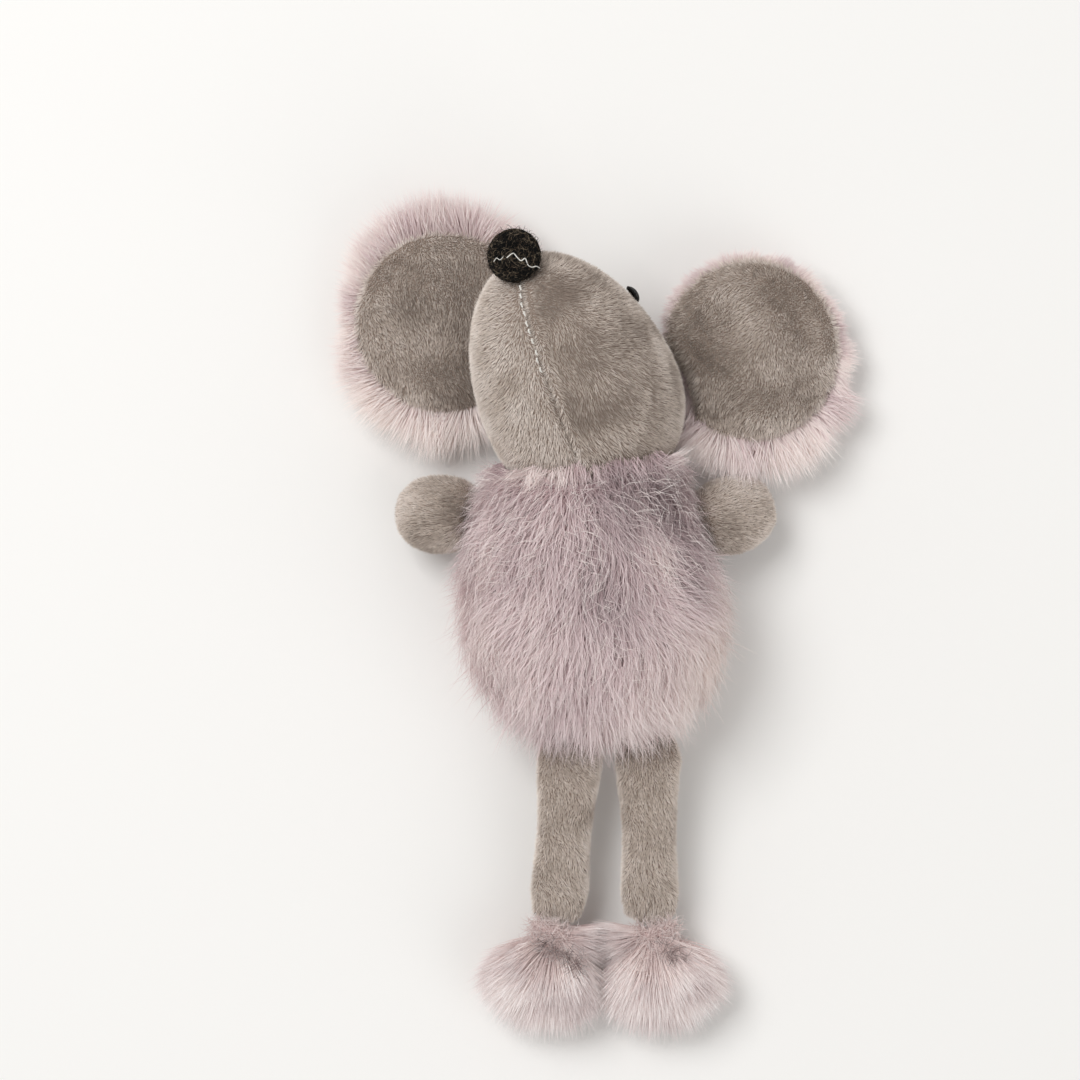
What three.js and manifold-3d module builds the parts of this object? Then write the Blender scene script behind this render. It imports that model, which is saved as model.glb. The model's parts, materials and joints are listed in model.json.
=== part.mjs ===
// A soft catnip mouse that lies on its back, in millimetres and degrees.
// +Z is up and away from the surface it lies on, +Y runs from the feet to the head.
// Left and right are as seen from the front. The middle of the back rests at the origin.
import * as THREE from 'three';
import { mergeVertices } from 'three/addons/utils/BufferGeometryUtils.js';
import Module from 'manifold-3d';

const wasm = await Module();
wasm.setup();

// Cloth and sewing.
const CLEARANCE = 0.35;
const SEAM_EDGE = 0.6;
const SHORT_PLUSH = 1.8;
const LONG_PILE = 3.4;
const FILL_SHARE = 0.88;

// Body: a sack with an open neck. Past the neck its sides would run on before they met.
const BODY_WIDTH = 43;
const BODY_LENGTH = 46.6;
const CREST_HEIGHT = 22.2;
const TUMMY_HEIGHT = 20;
const BACK_HEIGHT = 15.5;
const FLAT_DEPTH = 0.5;
const SACHET_WIDTH = 16;
const SACHET_LENGTH = 20;
const SACHET_DEPTH = 7;
const SACHET_DROP = 3;

// Head: an egg that is set into the neck of the sack.
const HEAD_RADIUS = 17.8;
const SNOUT_LENGTH = 33;
const NECK_DEPTH = 8.2;
const HEAD_SHIFT = -1.9;
const HEAD_RAISE = 40;
const HEAD_LEAN = 26.4;
const HEAD_ROLL = 19;
const HEAD_NOD = [-10, 30];
const NOSE_RADIUS = 4.6;
const NOSE_STANDOFF = 2.3;
const EYE_LENGTH = 4;
const EYE_WIDTH = 3.2;
const EYE_HEIGHT = 2.4;
const EYE_FORWARD = 13.9;
const EYE_ROUND = 123;

// Ears: how far each is turned from +X, how it slopes and how far it folds.
const EAR_RADIUS = 16;
const EAR_CUP = 2.6;
const EAR_FRINGE = 2.2;
const EAR_PILE = 3;
const EAR_ROUND = 125;
const RIGHT_FRINGE_DROP = 0.6;
const LEFT_EAR = { turn: 134, slope: 3, fold: [-5, 30] };
const RIGHT_EAR = { turn: -2, slope: -12, fold: [-5, 50] };

// Arms: set in the side seams at their own heights above the bottom seam.
const ARM_LENGTH = 16.8;
const ARM_WIDTH = 14;
const ARM_DEPTH = 8.4;
const ARM_SWING = [-10, 50];
const LEFT_ARM_HEIGHT = 37.4;
const RIGHT_ARM_HEIGHT = 35;
const LEFT_ARM = { turn: 180, slope: -28 };
const RIGHT_ARM = { turn: 19, slope: -26 };

// Legs and feet: let into the bottom seam to the left and the right of the middle.
const LEG_LENGTH = 36;
const LEG_WIDTH = 11;
const LEG_DEPTH = 5.6;
const ANKLE_SHARE = 0.84;
const LEFT_LEG_OUT = 4;
const RIGHT_LEG_OUT = 9.1;
const LEG_SLOPE = -11;
const LEG_SWING = [-5, 75];
const LEFT_LEG_TURN = -94.4;
const RIGHT_LEG_TURN = -88.9;
const FOOT_WIDTH = 20.4;
const FOOT_LENGTH = 21.6;
const FOOT_DEPTH = 14.6;
const FOOT_SWING = [-10, 70];
const LEFT_FOOT_TURN = -108;
const RIGHT_FOOT_TURN = -74.5;

// How finely each form is faceted: around its outline, and in rings from the middle to the seam.
const BODY_FACETS = { around: 24, rings: 5 };
const HEAD_FACETS = { around: 20, rings: 5 };
const EAR_FACETS = { around: 20, rings: 3 };
const ARM_FACETS = { around: 14, rings: 3 };
const LEG_FACETS = { around: 18, rings: 3 };
const FOOT_FACETS = { around: 16, rings: 4 };
const BALL_FACETS = { around: 12, rings: 8 };
const EYE_FACETS = { around: 10, rings: 6 };

const radians = THREE.MathUtils.degToRad;
const vector = (x, y, z) => new THREE.Vector3(x, y, z);
const UP = vector(0, 0, 1);

// A smooth closed outline. Each corner is given as a share of the length from the near end
// and a share of half the width. The outline's own origin lies the given way from the near end.
function outline(corners, length, width, fromEnd, count) {
  const points = corners.map(([along, across]) => vector(along * length - fromEnd, across * width / 2, 0));
  const curve = new THREE.CatmullRomCurve3(points, true, 'centripetal');
  return curve.getSpacedPoints(count).slice(0, count);
}

function scaled(loop, share) {
  return loop.map((point) => point.clone().multiplyScalar(share));
}

function widened(loop, margin) {
  return loop.map((point) => point.clone().setLength(point.length() + margin));
}

function solid(geometry) {
  geometry.deleteAttribute('normal');
  geometry.deleteAttribute('uv');
  const merged = mergeVertices(geometry);
  const vertProperties = new Float32Array(merged.getAttribute('position').array);
  const triVerts = new Uint32Array(merged.getIndex().array);
  return new wasm.Manifold(new wasm.Mesh({ numProp: 3, vertProperties, triVerts }));
}

// One layer of a sewn cushion: what lies between two sheets of cloth cut to one outline.
// A sheet's height depends on how far out it is, from 0 in the middle to 1 at the seam.
function layer(loop, upper, lower, rings) {
  const around = loop.length;
  const positions = [];
  const faces = [];
  for (const sheet of [upper, lower]) {
    positions.push(0, 0, sheet(0));
    for (let ring = 1; ring <= rings; ring++) {
      const out = Math.sin((ring / rings) * Math.PI / 2);
      for (const point of loop) positions.push(point.x * out, point.y * out, sheet(out));
    }
  }
  const below = 1 + rings * around;
  const rim = 1 + (rings - 1) * around;
  for (let here = 0; here < around; here++) {
    const next = (here + 1) % around;
    faces.push(0, 1 + here, 1 + next);
    faces.push(below, below + 1 + next, below + 1 + here);
    for (let start = 1; start < rim; start += around) {
      const [a, b] = [start + here, start + next];
      const [c, d] = [a + around, b + around];
      faces.push(a, c, d, a, d, b);
      faces.push(below + a, below + d, below + c, below + a, below + b, below + d);
    }
    const [top, topNext] = [rim + here, rim + next];
    faces.push(top, below + top, below + topNext, top, below + topNext, topNext);
  }
  const geometry = new THREE.BufferGeometry();
  geometry.setAttribute('position', new THREE.Float32BufferAttribute(positions, 3));
  geometry.setIndex(faces);
  return solid(geometry);
}

// The height of a stuffed sheet: a dome that comes down to a set edge at the seam.
function dome(height, edge) {
  return (out) => edge + (height - edge) * Math.sqrt(Math.max(0, 1 - out * out));
}

function under(sheet) {
  return (out) => -sheet(out);
}

// The two panels of a cushion, the filling between them in one piece or in two halves,
// and the room that a neighbour has to leave for it.
function cushion(loop, front, back, cloth, rings) {
  const half = CLEARANCE / 2;
  const edge = half + SEAM_EDGE;
  const fill = scaled(loop, FILL_SHARE);
  const frontFill = dome(front - cloth - CLEARANCE, edge);
  const backFill = under(dome(back - cloth - CLEARANCE, edge));
  return {
    room: layer(
      widened(loop, CLEARANCE),
      dome(front + CLEARANCE, edge + CLEARANCE),
      under(dome(back + CLEARANCE, edge + CLEARANCE)),
      rings,
    ),
    front: layer(loop, dome(front, edge), dome(front - cloth, half), rings),
    back: layer(loop, under(dome(back - cloth, half)), under(dome(back, edge)), rings),
    fill: layer(fill, frontFill, backFill, rings),
    frontFill: layer(fill, frontFill, () => half, rings),
    backFill: layer(fill, () => -half, backFill, rings),
  };
}

function placed(piece, frame) {
  return piece.transform(frame.elements);
}

function placedAll(pieces, frame) {
  return Object.fromEntries(Object.entries(pieces).map(([part, piece]) => [part, placed(piece, frame)]));
}

function ball(radius, facets) {
  return solid(new THREE.SphereGeometry(radius, facets.around, facets.rings));
}

function circle(radius, count, stretch = () => radius) {
  const loop = [];
  for (let step = 0; step < count; step++) {
    const angle = (step / count) * 2 * Math.PI;
    loop.push(vector(stretch(angle) * Math.cos(angle), radius * Math.sin(angle), 0));
  }
  return loop;
}

function heading(degrees) {
  return vector(Math.cos(radians(degrees)), Math.sin(radians(degrees)), 0);
}

// The frame of a flat limb: it reaches out from its hinge, turned about the vertical and then sloped.
function limbFrame(at, turn, slope, reach) {
  const side = heading(turn).cross(UP).negate();
  const out = heading(turn).applyAxisAngle(side, -radians(slope));
  const frame = new THREE.Matrix4().makeBasis(out, side, vector().crossVectors(out, side));
  return frame.setPosition(at.clone().addScaledVector(out, reach));
}

// A seat is where a limb is sewn on: a point, the way the form faces there and the hinge along the seam.
function seat(at, facing) {
  return { at, facing, axis: facing.clone().cross(UP).normalize() };
}

function turned(piece, hinge, degrees) {
  const turn = new THREE.Matrix4().makeRotationAxis(hinge.axis, radians(degrees));
  const there = new THREE.Matrix4().makeTranslation(hinge.at);
  const back = new THREE.Matrix4().makeTranslation(hinge.at.clone().negate());
  return placed(piece, there.multiply(turn).multiply(back));
}

function largest(piece) {
  const bodies = piece.decompose();
  return bodies.reduce((best, body) => (body.volume() > best.volume() ? body : best));
}

// Takes from a piece what a neighbour would meet, at rest and through the range of the hinge between them.
function trimmed(piece, neighbour, hinge, range) {
  const turns = [range[0], range[1] / 2, range[1]];
  let result = piece.subtract(neighbour);
  for (const degrees of turns) result = result.subtract(turned(neighbour, hinge, degrees));
  return largest(result);
}

// Bevels a limb at its seat, so that it swings clear of any rounded form behind it.
function bevelled(piece, limbSeat, range) {
  let result = piece;
  for (const degrees of range) {
    const normal = limbSeat.facing.clone().applyAxisAngle(limbSeat.axis, -radians(degrees));
    result = result.trimByPlane(normal.toArray(), normal.dot(limbSeat.at) + CLEARANCE);
  }
  return largest(result);
}

function reversed(range) {
  return range.map((degrees) => -degrees);
}

// One look for each sort of cloth or thread.
const looks = {
  short_plush: { color: 0x8d8b87, roughness: 0.95 },
  long_fur: { color: 0xb4abae, roughness: 0.9 },
  foot_fur: { color: 0xbdb4b4, roughness: 0.9 },
  filling: { color: 0xf2f0ea, roughness: 1 },
  sachet_cloth: { color: 0xdcd8c8, roughness: 0.95 },
  nose_yarn: { color: 0x15130f, roughness: 1 },
  eye_thread: { color: 0x0c0c0c, roughness: 0.6 },
};

const mouse = new THREE.Group();
mouse.name = 'catnip_mouse';

// A group that swings about a hinge stands at that hinge, inside the group that carries it.
function swinging(name, carrier, hinge, range) {
  const group = new THREE.Group();
  group.name = name;
  group.position.copy(hinge.at).sub(carrier.getWorldPosition(vector()));
  group.userData = { axis: hinge.axis.toArray(), range };
  carrier.add(group);
  return group;
}

function add(group, name, look, piece) {
  const pivot = group.getWorldPosition(vector());
  const mesh = piece.translate(pivot.negate().toArray()).getMesh();
  const geometry = new THREE.BufferGeometry();
  geometry.setAttribute('position', new THREE.Float32BufferAttribute(mesh.vertProperties, 3));
  geometry.setIndex(new THREE.BufferAttribute(mesh.triVerts, 1));
  geometry.computeVertexNormals();
  const material = new THREE.MeshStandardMaterial({ ...looks[look], metalness: 0 });
  material.name = look;
  const node = new THREE.Mesh(geometry, material);
  node.name = name;
  group.add(node);
}

// The egg of the head is round behind and longer toward the snout, sewn from a left and a right panel.
// Its seam runs from the nose down the chin and back over the top of the head.
const seamHeight = BACK_HEIGHT - FLAT_DEPTH;
const neckEdge = BODY_LENGTH - CREST_HEIGHT;
const headMiddle = vector(HEAD_SHIFT, neckEdge - NECK_DEPTH + HEAD_RADIUS, HEAD_RADIUS + FLAT_DEPTH);
const snoutTurn = new THREE.Euler(-radians(HEAD_ROLL), -radians(HEAD_RAISE), radians(90 + HEAD_LEAN), 'ZYX');
const [snout, leftward, chin] = [vector(), vector(), vector()];
new THREE.Matrix4().makeRotationFromEuler(snoutTurn).extractBasis(snout, leftward, chin);
const headFrame = new THREE.Matrix4().makeBasis(snout, chin, leftward.clone().negate());
headFrame.setPosition(headMiddle);

const egg = (angle) => (Math.cos(angle) > 0 ? SNOUT_LENGTH : HEAD_RADIUS);
const headLoop = circle(HEAD_RADIUS, HEAD_FACETS.around, egg);
const headCushion = cushion(headLoop, HEAD_RADIUS, HEAD_RADIUS, SHORT_PLUSH, HEAD_FACETS.rings);
const head = placedAll(headCushion, headFrame);

// A point on the egg: forward along the snout, then round from the chin toward one side.
function onHead(forward, round, side) {
  const ring = HEAD_RADIUS * Math.sqrt(1 - (forward / SNOUT_LENGTH) ** 2);
  const [down, out] = [ring * Math.cos(radians(round)), ring * Math.sin(radians(round))];
  return vector(forward, down, side * out).applyMatrix4(headFrame);
}

function nose(grow) {
  const at = headMiddle.clone().addScaledVector(snout, SNOUT_LENGTH + NOSE_STANDOFF);
  return placed(ball(NOSE_RADIUS + grow, BALL_FACETS), headFrame.clone().setPosition(at));
}

function eye(side, grow) {
  const at = onHead(EYE_FORWARD, EYE_ROUND, side);
  const outward = at.clone().sub(headMiddle).addScaledVector(snout, -EYE_FORWARD).normalize();
  const across = vector().crossVectors(outward, snout);
  const frame = new THREE.Matrix4().makeBasis(snout, across, outward).setPosition(at);
  const sizes = [EYE_LENGTH, EYE_WIDTH, EYE_HEIGHT].map((size) => size / 2 + grow);
  return placed(ball(1, EYE_FACETS).scale(sizes), frame);
}

const faceCuts = [nose(CLEARANCE), eye(1, CLEARANCE), eye(-1, CLEARANCE)];
const faced = (piece) => largest(faceCuts.reduce((result, cut) => result.subtract(cut), piece));

// Torso: a pear-shaped sack of long-pile cloth, stuffed round a sachet, with the head let into its neck.
const sackCorners = [
  [0, 0.05], [0.046, -0.51], [0.196, -0.87], [0.391, -0.97], [0.582, -0.91], [0.778, -0.78], [0.968, -0.67],
  [1.23, -0.55], [1.46, -0.3], [1.56, 0.05], [1.46, 0.42], [1.23, 0.7],
  [0.948, 0.86], [0.757, 0.97], [0.541, 1], [0.304, 0.97], [0.134, 0.77], [0.031, 0.42],
];
const bodyFrame = new THREE.Matrix4().makeRotationZ(Math.PI / 2).setPosition(0, 0, seamHeight);
const bodyLoop = outline(sackCorners, BODY_LENGTH, BODY_WIDTH, CREST_HEIGHT, BODY_FACETS.around);
const bodyCushion = cushion(bodyLoop, TUMMY_HEIGHT, BACK_HEIGHT, LONG_PILE, BODY_FACETS.rings);
const body = placedAll(bodyCushion, bodyFrame);

const neck = { at: headMiddle, axis: vector(1, 0, 0) };
const necked = (piece) => piece.trimByPlane([0, -1, 0], -neckEdge);
const dished = (piece) => trimmed(necked(piece), head.room, neck, HEAD_NOD);
const headHollow = ball(HEAD_RADIUS + SHORT_PLUSH, BALL_FACETS).translate(headMiddle.toArray());
const scooped = (piece) => largest(dished(piece).subtract(headHollow));

const pad = [
  [1, 0], [0.86, 0.8], [0.5, 1], [0.14, 0.8], [0, 0], [0.14, -0.8], [0.5, -1], [0.86, -0.8],
];
const sachetLoop = outline(pad, SACHET_LENGTH, SACHET_WIDTH, SACHET_LENGTH / 2, ARM_FACETS.around);
const sachetFrame = bodyFrame.clone().setPosition(0, -SACHET_DROP, seamHeight);
function sachet(grow) {
  const sheet = dome(SACHET_DEPTH / 2 + grow, SEAM_EDGE + grow);
  return placed(layer(widened(sachetLoop, grow), sheet, under(sheet), ARM_FACETS.rings), sachetFrame);
}

add(mouse, 'body_front_panel', 'long_fur', dished(body.front));
add(mouse, 'body_back_panel', 'long_fur', dished(body.back).trimByPlane(UP.toArray(), 0));
add(mouse, 'body_stuffing_front', 'filling', largest(scooped(body.frontFill).subtract(sachet(CLEARANCE))));
add(mouse, 'body_stuffing_back', 'filling', largest(scooped(body.backFill).subtract(sachet(CLEARANCE))));
add(mouse, 'catnip_sachet', 'sachet_cloth', sachet(0));

const headGroup = swinging('head', mouse, neck, HEAD_NOD);
add(headGroup, 'head_left_panel', 'short_plush', faced(head.back));
add(headGroup, 'head_right_panel', 'short_plush', faced(head.front));
add(headGroup, 'head_stuffing', 'filling', faced(head.fill));
add(headGroup, 'nose_pompom', 'nose_yarn', nose(0));
add(headGroup, 'left_eye', 'eye_thread', eye(-1, 0));
add(headGroup, 'right_eye', 'eye_thread', eye(1, 0));

// Ears: round pads, cupped to the front, of short plush backed with long-pile cloth.
// The backing is the larger round, and on the right ear it hangs lower than the plush.
const earLoop = circle(EAR_RADIUS, EAR_FACETS.around);
const fringeLoop = circle(EAR_RADIUS + EAR_FRINGE, EAR_FACETS.around);
function cupped(offset, thickness) {
  return (out) => offset - EAR_CUP * (1 - out * out) + thickness * Math.sqrt(Math.max(0, 1 - out * out));
}
const earHalf = CLEARANCE / 2;
const earEdge = earHalf + SEAM_EDGE;
const earFront = layer(earLoop, cupped(earEdge, SHORT_PLUSH), cupped(earHalf, 0), EAR_FACETS.rings);
const earBack = layer(fringeLoop, cupped(-earHalf, 0), cupped(-earEdge, -EAR_PILE), EAR_FACETS.rings);

function addEar(name, side, { turn, slope, fold }, fringeDrop) {
  const earSeat = seat(onHead(0, EAR_ROUND, side), heading(turn));
  const frame = limbFrame(earSeat.at, turn, slope, EAR_RADIUS - CLEARANCE);
  const group = swinging(name, headGroup, earSeat, fold);
  const lowered = earBack.translate([0, -fringeDrop, 0]);
  const cut = (piece) => trimmed(placed(piece, frame), head.room, earSeat, reversed(fold));
  add(group, `${name}_front`, 'short_plush', cut(earFront));
  add(group, `${name}_back`, 'long_fur', cut(lowered));
}
addEar('left_ear', -1, LEFT_EAR, 0);
addEar('right_ear', 1, RIGHT_EAR, RIGHT_FRINGE_DROP);

// Arms: stuffed paddles set in the side seams.
const paddle = [
  [1, 0], [0.93, 0.62], [0.6, 1], [0.2, 0.9], [0, 0.6], [0, -0.6], [0.2, -0.9], [0.6, -1], [0.93, -0.62],
];
const armLoop = outline(paddle, ARM_LENGTH, ARM_WIDTH, ARM_LENGTH / 2, ARM_FACETS.around);
const arm = cushion(armLoop, ARM_DEPTH / 2, ARM_DEPTH / 2, SHORT_PLUSH, ARM_FACETS.rings);

// The seat in the side seam at a height above the bottom seam, facing straight out of the cloth.
function sideSeat(height, side) {
  const seam = bodyLoop.map((point) => point.clone().applyMatrix4(bodyFrame));
  const level = height - CREST_HEIGHT;
  for (let here = 0; here < seam.length; here++) {
    const [low, high] = [seam[here], seam[(here + 1) % seam.length]].sort((a, b) => a.y - b.y);
    const at = low.clone().lerp(high, (level - low.y) / (high.y - low.y));
    if (low.y <= level && level < high.y && at.x * side > 0) {
      const facing = high.clone().sub(low).cross(UP).multiplyScalar(side).normalize();
      return seat(at, facing);
    }
  }
  throw new Error('The arm is set above or below the body.');
}

function addArm(name, armSeat, { turn, slope }) {
  const frame = limbFrame(armSeat.at, turn, slope, ARM_LENGTH / 2 - CLEARANCE);
  const group = swinging(name, mouse, armSeat, ARM_SWING);
  const cut = (piece) => bevelled(placed(piece, frame), armSeat, ARM_SWING);
  add(group, `${name}_front`, 'short_plush', cut(arm.front));
  add(group, `${name}_back`, 'short_plush', cut(arm.back));
  add(group, `${name}_stuffing`, 'filling', cut(arm.fill));
}
addArm('left_arm', sideSeat(LEFT_ARM_HEIGHT, -1), LEFT_ARM);
addArm('right_arm', sideSeat(RIGHT_ARM_HEIGHT, 1), RIGHT_ARM);

// Legs: two flat layers of plush let into the bottom seam. Feet: fans of fur round the ankles.
const strip = [
  [1, 0], [0.99, 0.6 * ANKLE_SHARE], [0.95, ANKLE_SHARE], [0.5, 0.92], [0.05, 1], [0, 0.6],
  [0, -0.6], [0.05, -1], [0.5, -0.92], [0.95, -ANKLE_SHARE], [0.99, -0.6 * ANKLE_SHARE],
];
const legLoop = outline(strip, LEG_LENGTH, LEG_WIDTH, LEG_LENGTH / 2, LEG_FACETS.around);
const leg = cushion(legLoop, LEG_DEPTH / 2, LEG_DEPTH / 2, LEG_DEPTH / 2 - CLEARANCE, LEG_FACETS.rings);
const fan = [
  [1, 0], [0.93, 0.55], [0.7, 0.95], [0.4, 0.98], [0.12, 0.6], [0, 0.22],
  [0, -0.22], [0.12, -0.6], [0.4, -0.98], [0.7, -0.95], [0.93, -0.55],
];
const footLoop = outline(fan, FOOT_LENGTH, FOOT_WIDTH, FOOT_LENGTH / 2, FOOT_FACETS.around);
const footSheet = dome(FOOT_DEPTH / 2, SEAM_EDGE);
const foot = layer(footLoop, footSheet, under(footSheet), FOOT_FACETS.rings);
const footward = vector(0, -1, 0);

function addLeg(side, across, turn, footTurn) {
  const hip = seat(vector(across, -CREST_HEIGHT, seamHeight), footward);
  const frame = limbFrame(hip.at, turn, LEG_SLOPE, LEG_LENGTH / 2 - CLEARANCE);
  const legGroup = swinging(`${side}_leg`, mouse, hip, LEG_SWING);
  add(legGroup, `${side}_leg_front`, 'short_plush', bevelled(placed(leg.front, frame), hip, LEG_SWING));
  add(legGroup, `${side}_leg_back`, 'short_plush', bevelled(placed(leg.back, frame), hip, LEG_SWING));
  const along = vector().setFromMatrixColumn(frame, 0);
  const ankle = seat(hip.at.clone().addScaledVector(along, LEG_LENGTH - CLEARANCE), footward);
  const footFrame = limbFrame(ankle.at, footTurn, 0, FOOT_LENGTH / 2);
  const footGroup = swinging(`${side}_foot`, legGroup, ankle, FOOT_SWING);
  const fur = trimmed(placed(foot, footFrame), placed(leg.room, frame), ankle, reversed(FOOT_SWING));
  add(footGroup, `${side}_foot_fur`, 'foot_fur', fur);
}
addLeg('left', -LEFT_LEG_OUT, LEFT_LEG_TURN, LEFT_FOOT_TURN);
addLeg('right', RIGHT_LEG_OUT, RIGHT_LEG_TURN, RIGHT_FOOT_TURN);

export default mouse;
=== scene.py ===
import json
import math

import bpy
import numpy as np
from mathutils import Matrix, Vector
from mathutils.bvhtree import BVHTree
from mathutils.kdtree import KDTree


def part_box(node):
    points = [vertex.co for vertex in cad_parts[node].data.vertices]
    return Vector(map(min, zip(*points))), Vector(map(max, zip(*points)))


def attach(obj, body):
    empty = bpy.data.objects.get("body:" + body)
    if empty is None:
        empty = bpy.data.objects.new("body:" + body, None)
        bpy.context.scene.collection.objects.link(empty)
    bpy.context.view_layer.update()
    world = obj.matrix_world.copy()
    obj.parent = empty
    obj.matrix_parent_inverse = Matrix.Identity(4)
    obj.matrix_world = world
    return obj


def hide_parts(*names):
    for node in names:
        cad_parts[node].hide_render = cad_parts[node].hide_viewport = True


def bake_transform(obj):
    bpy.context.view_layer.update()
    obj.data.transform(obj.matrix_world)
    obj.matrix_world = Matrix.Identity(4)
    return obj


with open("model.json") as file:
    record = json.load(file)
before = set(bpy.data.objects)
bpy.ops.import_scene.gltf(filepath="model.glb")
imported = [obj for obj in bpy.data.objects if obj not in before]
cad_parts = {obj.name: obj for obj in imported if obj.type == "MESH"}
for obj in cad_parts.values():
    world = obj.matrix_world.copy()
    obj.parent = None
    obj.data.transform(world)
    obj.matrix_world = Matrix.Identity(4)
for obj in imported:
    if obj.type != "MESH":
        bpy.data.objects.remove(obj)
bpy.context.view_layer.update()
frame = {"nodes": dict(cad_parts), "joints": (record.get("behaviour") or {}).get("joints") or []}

# Head: an egg of short grey plush, cut as a left and a right panel, sewn together inside out
# and stuffed hard with polyester fibre. The seam shows as a ridge down the chin, with a painted
# highlight along it and painted shade in the groove beside it.
MM = 0.001
joints = {joint["name"]: joint for joint in frame["joints"]}
HEAD_RADIUS = 17.8 * MM
SNOUT_LENGTH = 33 * MM
HEAD_INSET = 0.9 * MM
HEAD_GRAIN = 1.2 * MM
HEAD_SWELL = 0.4 * MM
HEAD_TUFTS = 42000
PLUSH_LENGTH = 0.95 * MM
PLUSH_WIDTH = 0.145 * MM
PLUSH_STAND = 0.58
FINGER_STROKE = 11 * MM
WORN_PATCH = 9 * MM
RIDGE_WIDTH = 0.8 * MM
SEAM_RIDGE = 0.7 * MM
SEAM_GROOVE = 1.0 * MM
SEAM_FADE = 5 * MM
SEAM_SLIT = 0.02 * MM
CLOTH_MASS = 0.002
FILL_PRESSURE = 40
FILL_STEPS = 20


def added(name, data):
    """A new object in the scene."""
    made = bpy.data.objects.new(name, data)
    bpy.context.scene.collection.objects.link(made)
    return made


def newest():
    return bpy.context.view_layer.objects.active


def selected_alone(piece):
    bpy.ops.object.select_all(action="DESELECT")
    piece.select_set(True)
    bpy.context.view_layer.objects.active = piece


def points_of(form):
    points = np.empty(len(form.data.vertices) * 3, np.float32)
    form.data.vertices.foreach_get("co", points)
    return points.reshape(-1, 3).astype(float)


def move_points(form, points):
    form.data.vertices.foreach_set("co", points.astype(np.float32).ravel())
    form.data.update()


def facing_of(form):
    ways = np.empty(len(form.data.vertices) * 3, np.float32)
    form.data.vertices.foreach_get("normal", ways)
    return ways.reshape(-1, 3).astype(float)


def unit(ways):
    return ways / np.maximum(np.linalg.norm(ways, axis=-1, keepdims=True), 1e-12)


def stuffed(form, grain, inset, swell, evenness=8, seam=None):
    """A sewn form in one even skin, set back by the height of its pile and swelled by its filling."""
    selected_alone(form)
    form.data.remesh_voxel_size = grain
    bpy.ops.object.voxel_remesh()
    bpy.ops.object.mode_set(mode="EDIT")
    bpy.ops.mesh.select_all(action="SELECT")
    bpy.ops.mesh.separate(type="LOOSE")
    bpy.ops.object.mode_set(mode="OBJECT")
    shells = list(bpy.context.selected_objects)
    form = max(shells, key=lambda shell: shell.dimensions.length)
    for shell in shells:
        if shell is not form:
            bpy.data.objects.remove(shell)
    selected_alone(form)
    even = form.modifiers.new("even", "SMOOTH")
    even.iterations = evenness
    even.factor = 0.5
    bpy.ops.object.modifier_apply(modifier="even")
    backing = form.modifiers.new("backing", "DISPLACE")
    backing.strength = -inset
    backing.mid_level = 0
    bpy.ops.object.modifier_apply(modifier="backing")
    slack = points_of(form)
    cloth = form.modifiers.new("filling", "CLOTH")
    cloth.settings.quality = 4
    cloth.settings.mass = CLOTH_MASS
    cloth.settings.use_pressure = True
    cloth.settings.uniform_pressure_force = FILL_PRESSURE
    cloth.settings.effector_weights.gravity = 0
    if seam is not None:
        place, across = seam
        from_seam = np.abs((slack - np.array(place)) @ np.array(across))
        held = form.vertex_groups.new(name="seam")
        held.add(np.flatnonzero(from_seam < grain).tolist(), 1.0, "REPLACE")
        cloth.settings.vertex_group_mass = "seam"
    cloth.point_cache.frame_end = FILL_STEPS
    for step in range(1, FILL_STEPS + 1):
        bpy.context.scene.frame_set(step)
    bpy.ops.object.modifier_apply(modifier="filling")
    bpy.context.scene.frame_set(1)
    moved = points_of(form) - slack
    far = np.linalg.norm(moved, axis=1, keepdims=True)
    move_points(form, slack + moved * np.minimum(1, swell / np.maximum(far, 1e-9)))
    finer = form.modifiers.new("finer", "SUBSURF")
    finer.levels = 1
    bpy.ops.object.modifier_apply(modifier="finer")
    return form


def half(form, place, facing):
    """One panel of a sewn form: the part of it that lies on the side that facing points to."""
    panel = added("panel", form.data.copy())
    selected_alone(panel)
    bpy.ops.object.mode_set(mode="EDIT")
    bpy.ops.mesh.select_all(action="SELECT")
    bpy.ops.mesh.bisect(plane_co=place, plane_no=facing, use_fill=True, clear_inner=True)
    bpy.ops.object.mode_set(mode="OBJECT")
    return panel


WAVES = 9


def drift(points, size, seed):
    """A slow, even change from about -1 to 1 over the given size, for tone and lie that vary over a cloth."""
    draw = np.random.default_rng(seed)
    waves = unit(draw.normal(size=(WAVES, 3))) * draw.uniform(0.6, 1.4, (WAVES, 1)) * 2 * math.pi / size
    return np.sin(points @ waves.T + draw.uniform(0, 2 * math.pi, WAVES)).sum(1) / math.sqrt(WAVES)


def everywhere(points, facing):
    return np.ones(len(points))


def scatter(form, count, draw, chance=everywhere):
    """Places for fibres, spread evenly where there is a chance of one, and the way the cloth faces there."""
    mesh = form.data
    mesh.calc_loop_triangles()
    corners = np.empty(len(mesh.loop_triangles) * 3, np.int32)
    mesh.loop_triangles.foreach_get("vertices", corners)
    corners = corners.reshape(-1, 3)
    points = points_of(form)
    facing = facing_of(form)
    a, b, c = points[corners].transpose(1, 0, 2)
    cross = np.cross(b - a, c - a)
    share = np.cumsum(np.linalg.norm(cross, axis=1) * chance((a + b + c) / 3, unit(cross)))
    even = (np.arange(count) + draw.random(count)) / count * share[-1]
    picked = np.minimum(np.searchsorted(share, even), len(corners) - 1)
    s, t = draw.random((2, count))
    over = s + t > 1
    s[over] = 1 - s[over]
    t[over] = 1 - t[over]
    weights = np.stack([1 - s - t, s, t], 1)[:, :, None]
    roots = (points[corners[picked]] * weights).sum(1)
    return roots, unit((facing[corners[picked]] * weights).sum(1))


LOCK_STRETCH = 0.65


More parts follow.
